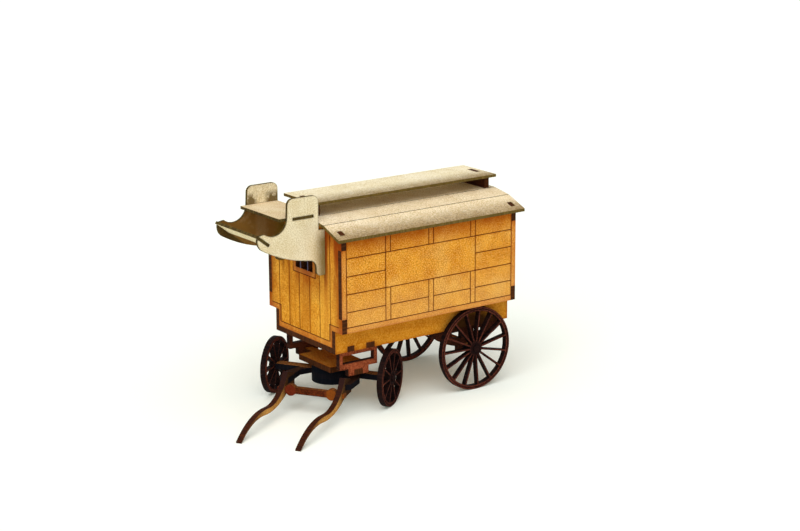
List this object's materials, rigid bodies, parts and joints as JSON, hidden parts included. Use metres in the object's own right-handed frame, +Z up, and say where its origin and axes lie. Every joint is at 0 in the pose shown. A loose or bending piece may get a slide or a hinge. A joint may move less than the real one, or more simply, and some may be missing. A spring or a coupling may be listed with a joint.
{
  "type": "model vardo wagon",
  "caption": "Small laser-cut board and card model of a horse-drawn living wagon with a turning fore carriage, spoked wheels, shafts and a driver's seat.",
  "frame": {"origin": "on the ground, on the centreline, under the king pin", "axes": "+Z up, front of the wagon towards -Y, +X its right-hand long side as the picture shows it"},
  "size_m": [0.0656, 0.1198, 0.0793],
  "materials": {
    "board": "matte",
    "burnt_board": "matte",
    "card": "matte"
  },
  "bodies": {
    "wagon": {"chassis_plate": "board", "left_sill": "board", "right_sill": "board", "deck": "board", "front_wall": "board", "rear_wall": "board", "left_wall": "board", "right_wall": "board", "lower_roof": "card", "upper_roof": "card", "left_seat_plate": "card", "right_seat_plate": "card", "seat_bench": "card", "foot_board": "card", "left_fore_frame": "burnt_board", "right_fore_frame": "burnt_board", "turntable_plate": "board", "king_pin": "burnt_board", "left_rear_frame": "burnt_board", "right_rear_frame": "burnt_board", "rear_axle": "burnt_board", "rear_hub_caps": "burnt_board"},
    "fore_carriage": {"lower_disc": "burnt_board", "upper_disc": "burnt_board", "front_axle": "burnt_board", "left_shaft": "board", "right_shaft": "board", "crossbar": "board", "front_hub_caps": "burnt_board"},
    "left_front_wheel": {"left_front_wheel": "burnt_board"},
    "right_front_wheel": {"right_front_wheel": "burnt_board"},
    "left_rear_wheel": {"left_rear_wheel": "burnt_board"},
    "right_rear_wheel": {"right_rear_wheel": "burnt_board"}
  },
  "joints": [
    {"name": "steering", "type": "hinge", "parent": "wagon", "child": "fore_carriage", "pos_m": [0, 0, 0.0114], "axis": [0, 0, 1], "range_deg": [-123.25, 56.75]},
    {"name": "left_front_spin", "type": "hinge", "parent": "fore_carriage", "child": "left_front_wheel", "pos_m": [-0.01873, -0.01228, 0.0104], "axis": [0.8363, 0.5483, 0], "continuous": true},
    {"name": "right_front_spin", "type": "hinge", "parent": "fore_carriage", "child": "right_front_wheel", "pos_m": [0.01873, 0.01228, 0.0104], "axis": [0.8363, 0.5483, 0], "continuous": true},
    {"name": "left_rear_spin", "type": "hinge", "parent": "wagon", "child": "left_rear_wheel", "pos_m": [-0.02105, 0.0482, 0.0154], "axis": [1, 0, 0], "continuous": true},
    {"name": "right_rear_spin", "type": "hinge", "parent": "wagon", "child": "right_rear_wheel", "pos_m": [0.02105, 0.0482, 0.0154], "axis": [1, 0, 0], "continuous": true}
  ]
}
